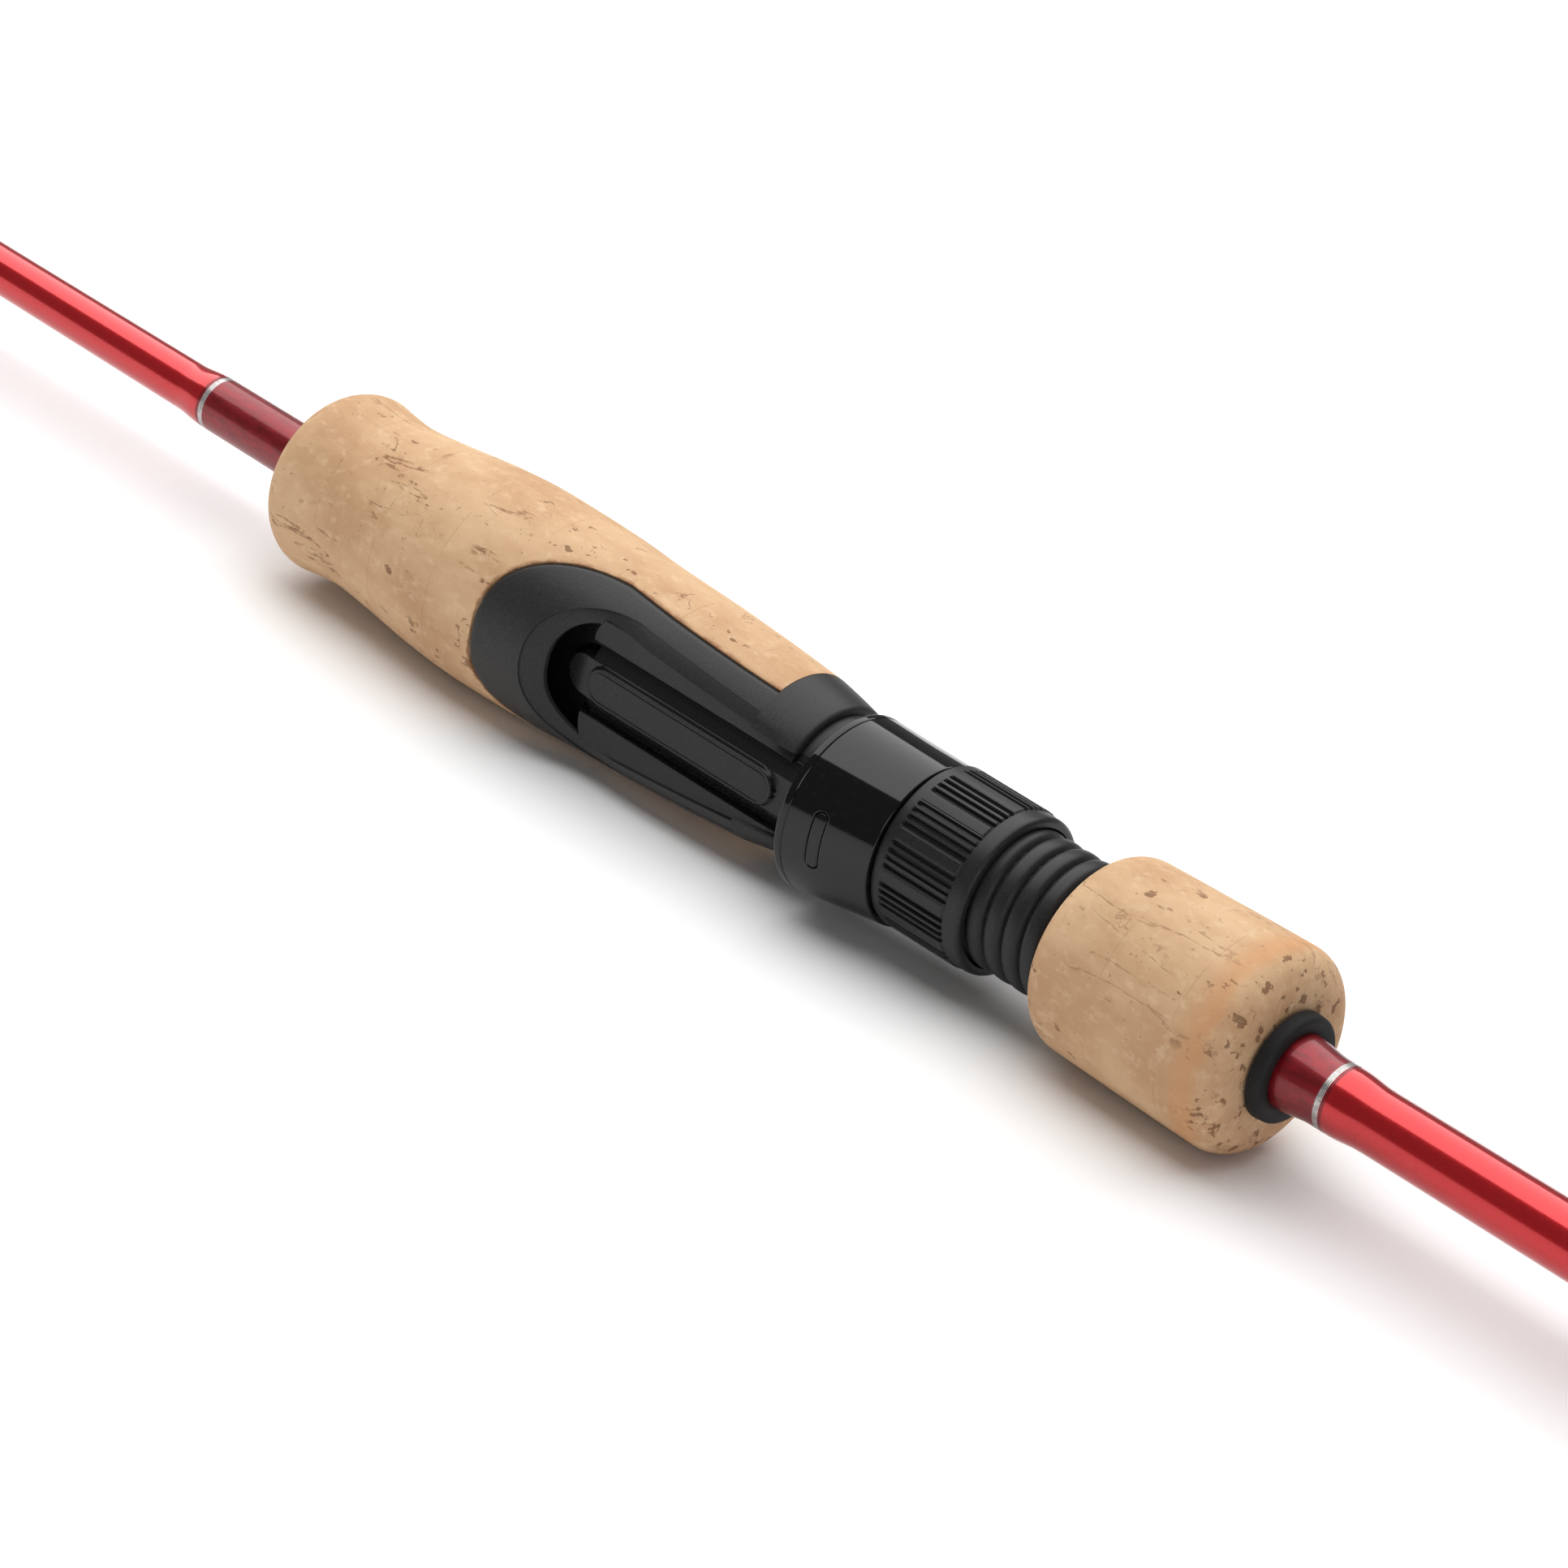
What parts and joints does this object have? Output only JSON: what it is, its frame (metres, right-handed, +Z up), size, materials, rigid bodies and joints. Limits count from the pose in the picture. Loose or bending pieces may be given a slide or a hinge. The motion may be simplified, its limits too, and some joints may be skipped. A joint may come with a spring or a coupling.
{
  "type": "spinning rod",
  "caption": "Two-piece light spinning rod with a split cork handle, an up-locking reel seat with sliding hood and lock nut, ring guides and a tip-top.",
  "frame": {"origin": "centre of the butt cap's flat end", "axes": "+X runs along the rod from the butt to the tip, +Y is the side that carries the reel and the guides, +Z is up while the rod lies on its side"},
  "size_m": [1.83, 0.0459, 0.0308],
  "materials": {
    "cork": "sanded natural cork with dark pits and fine cracks",
    "rubber": "matt black rubber",
    "arbor_foam": "rigid foam, hidden inside the seat",
    "seat_plastic": "dark grey satin moulded plastic with a fine speckle",
    "hood_gloss": "polished black plastic",
    "nut_plastic": "satin black plastic with moulded grip grooves",
    "red_lacquer": "translucent candy red over carbon fibre, clear coated",
    "wrap_thread": "burgundy thread under clear epoxy",
    "silver_thread": "metallic silver thread under clear epoxy",
    "guide_metal": "polished grey steel",
    "guide_ceramic": "polished dark ceramic"
  },
  "bodies": {
    "butt_section": {"butt_blank": "red_lacquer", "butt_cap": "rubber", "butt_check": "rubber", "butt_cork_1": "cork", "butt_cork_2": "cork", "butt_cork_3": "cork", "butt_cork_4": "cork", "butt_cork_5": "cork", "butt_cork_6": "cork", "butt_trim": "silver_thread", "butt_wrap": "wrap_thread", "foregrip_cork_1": "cork", "foregrip_cork_2": "cork", "foregrip_cork_3": "cork", "foregrip_cork_4": "cork", "foregrip_cork_5": "cork", "foregrip_cork_6": "cork", "foregrip_cork_7": "cork", "foregrip_cork_8": "cork", "front_trim": "silver_thread", "front_wrap": "wrap_thread", "guide_1_frame": "guide_metal", "guide_1_ring": "guide_ceramic", "guide_1_wrap_front": "wrap_thread", "guide_1_wrap_rear": "wrap_thread", "rear_check": "rubber", "rear_cork_1": "cork", "rear_cork_2": "cork", "rear_cork_3": "cork", "rear_trim": "silver_thread", "rear_wrap": "wrap_thread", "seat_arbor_1": "arbor_foam", "seat_arbor_2": "arbor_foam", "seat_arbor_3": "arbor_foam", "seat_body": "seat_plastic"},
    "hood": {"sliding_hood": "hood_gloss"},
    "nut": {"lock_nut": "nut_plastic"},
    "tip_section": {"ferrule_wrap": "wrap_thread", "guide_2_frame": "guide_metal", "guide_2_ring": "guide_ceramic", "guide_2_wrap": "wrap_thread", "guide_3_frame": "guide_metal", "guide_3_ring": "guide_ceramic", "guide_3_wrap": "wrap_thread", "guide_4_frame": "guide_metal", "guide_4_ring": "guide_ceramic", "guide_4_wrap": "wrap_thread", "guide_5_frame": "guide_metal", "guide_5_ring": "guide_ceramic", "guide_5_wrap": "wrap_thread", "guide_6_frame": "guide_metal", "guide_6_ring": "guide_ceramic", "guide_6_wrap": "wrap_thread", "tip_blank": "red_lacquer", "tip_top_frame": "guide_metal", "tip_top_ring": "guide_ceramic", "tip_top_wrap": "wrap_thread"}
  },
  "joints": [
    {"name": "hood_slide", "type": "slide", "parent": "butt_section", "child": "hood", "axis": [1, 0, 0], "range_m": [-0.012, 0.004]},
    {"name": "nut_turn", "type": "hinge", "parent": "hood", "child": "nut", "pos_m": [0.22485, 0, 0], "axis": [1, 0, 0], "range_deg": [-1329.3, 443.2]},
    {"name": "ferrule_slide", "type": "slide", "parent": "butt_section", "child": "tip_section", "axis": [1, 0, 0], "range_m": [0, 0.08]}
  ],
  "couplings": [
    {"joint": "nut_turn", "follows": "hood_slide", "rad_per_m": 1933.3}
  ]
}
